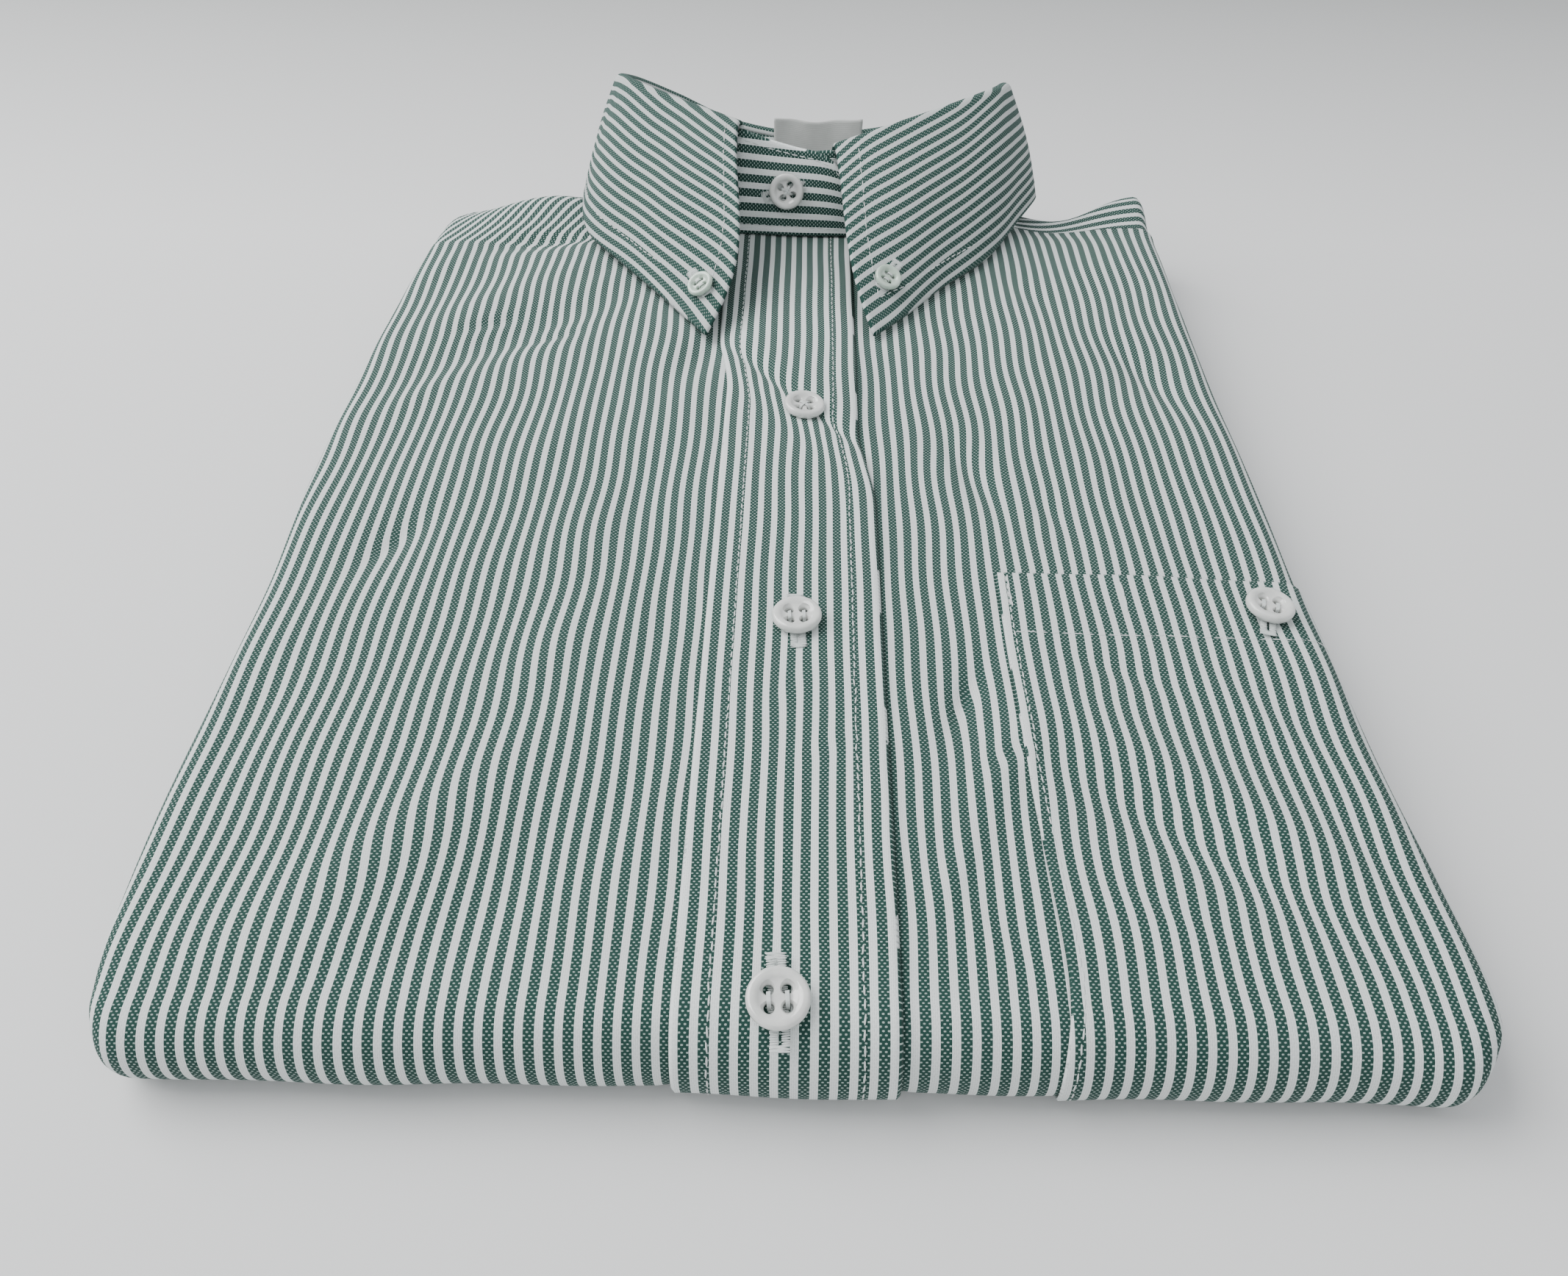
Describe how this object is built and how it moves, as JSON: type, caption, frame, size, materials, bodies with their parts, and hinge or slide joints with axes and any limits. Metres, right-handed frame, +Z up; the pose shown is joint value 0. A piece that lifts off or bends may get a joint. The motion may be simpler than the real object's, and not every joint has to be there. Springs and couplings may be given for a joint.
{
  "type": "folded short-sleeve shirt",
  "caption": "Striped button-down shirt folded flat for the shelf, chest and pocket up, its buttoned collar standing at the far end.",
  "frame": {"origin": "on the surface it lies on, under the middle of the folded shirt's outline", "axes": "+Z up out of the surface, +Y from the near fold to the collar, +X to the right seen from the near fold"},
  "size_m": [0.253, 0.3746, 0.066],
  "materials": {
    "shirting": "cool white oxford cotton with deep green warp stripes, matte",
    "inner_cloth": "the same striped cotton, folded out of sight",
    "label_tape": "plain grey woven tape, blank",
    "pearl_button": "pearly white polyester resin, polished",
    "point_button": "translucent green-white resin, polished"
  },
  "bodies": {
    "root": {"inner_layers": "inner_cloth", "front_left": "shirting", "front_right": "shirting", "placket": "shirting", "pocket": "shirting", "yoke": "shirting", "collar_band": "shirting", "collar_leaf": "shirting", "neck_label": "label_tape", "button_placket_1": "pearl_button", "button_placket_2": "pearl_button", "button_placket_3": "pearl_button", "button_pocket": "pearl_button", "button_band": "pearl_button", "button_point_right": "point_button", "button_point_left": "point_button"}
  },
  "joints": []
}
